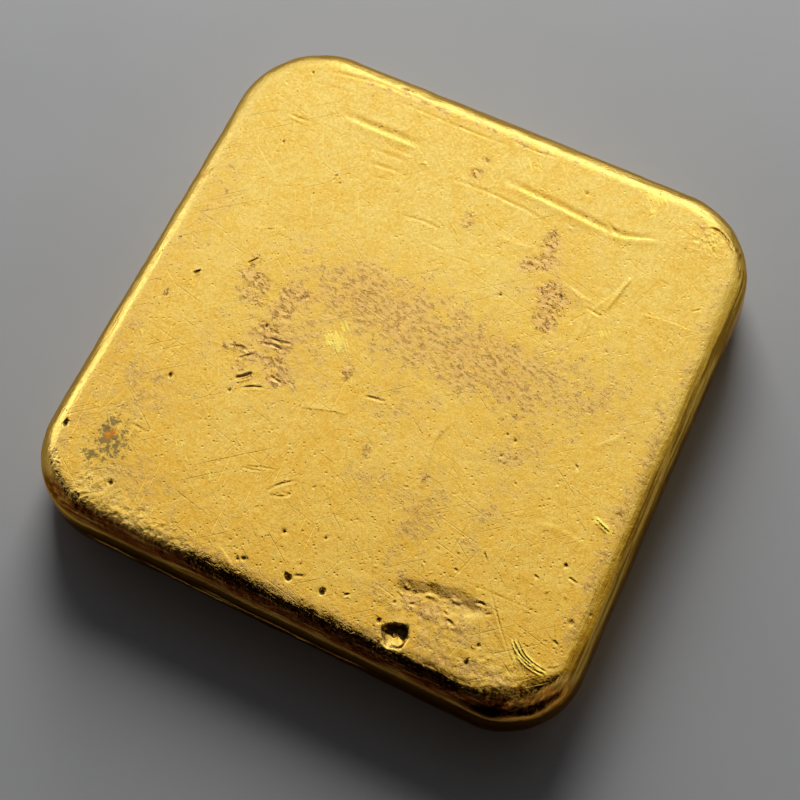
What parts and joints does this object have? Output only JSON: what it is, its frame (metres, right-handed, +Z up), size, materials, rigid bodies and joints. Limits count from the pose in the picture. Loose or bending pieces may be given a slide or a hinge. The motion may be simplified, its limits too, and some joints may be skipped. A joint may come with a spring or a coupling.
{
  "type": "cast gold bar",
  "caption": "Square poured gold bar with rounded corners and edges, sloping walls, a flat pitted upper face and a shallow dish underneath.",
  "frame": {"origin": "middle of the footprint, on the surface that the bar rests on", "axes": "+Z up, out of the flat moulded face; +X to the right and +Y to the back, along the bar's two sides; the corners at -Y are the tighter ones"},
  "size_m": [0.0462, 0.0466, 0.0064],
  "materials": {
    "cast_gold": "satin as-cast gold with fine scratches, dull brown film patches and small gas pits; glossier on the walls"
  },
  "bodies": {
    "root": {"cast_bar": "cast_gold"}
  },
  "joints": []
}
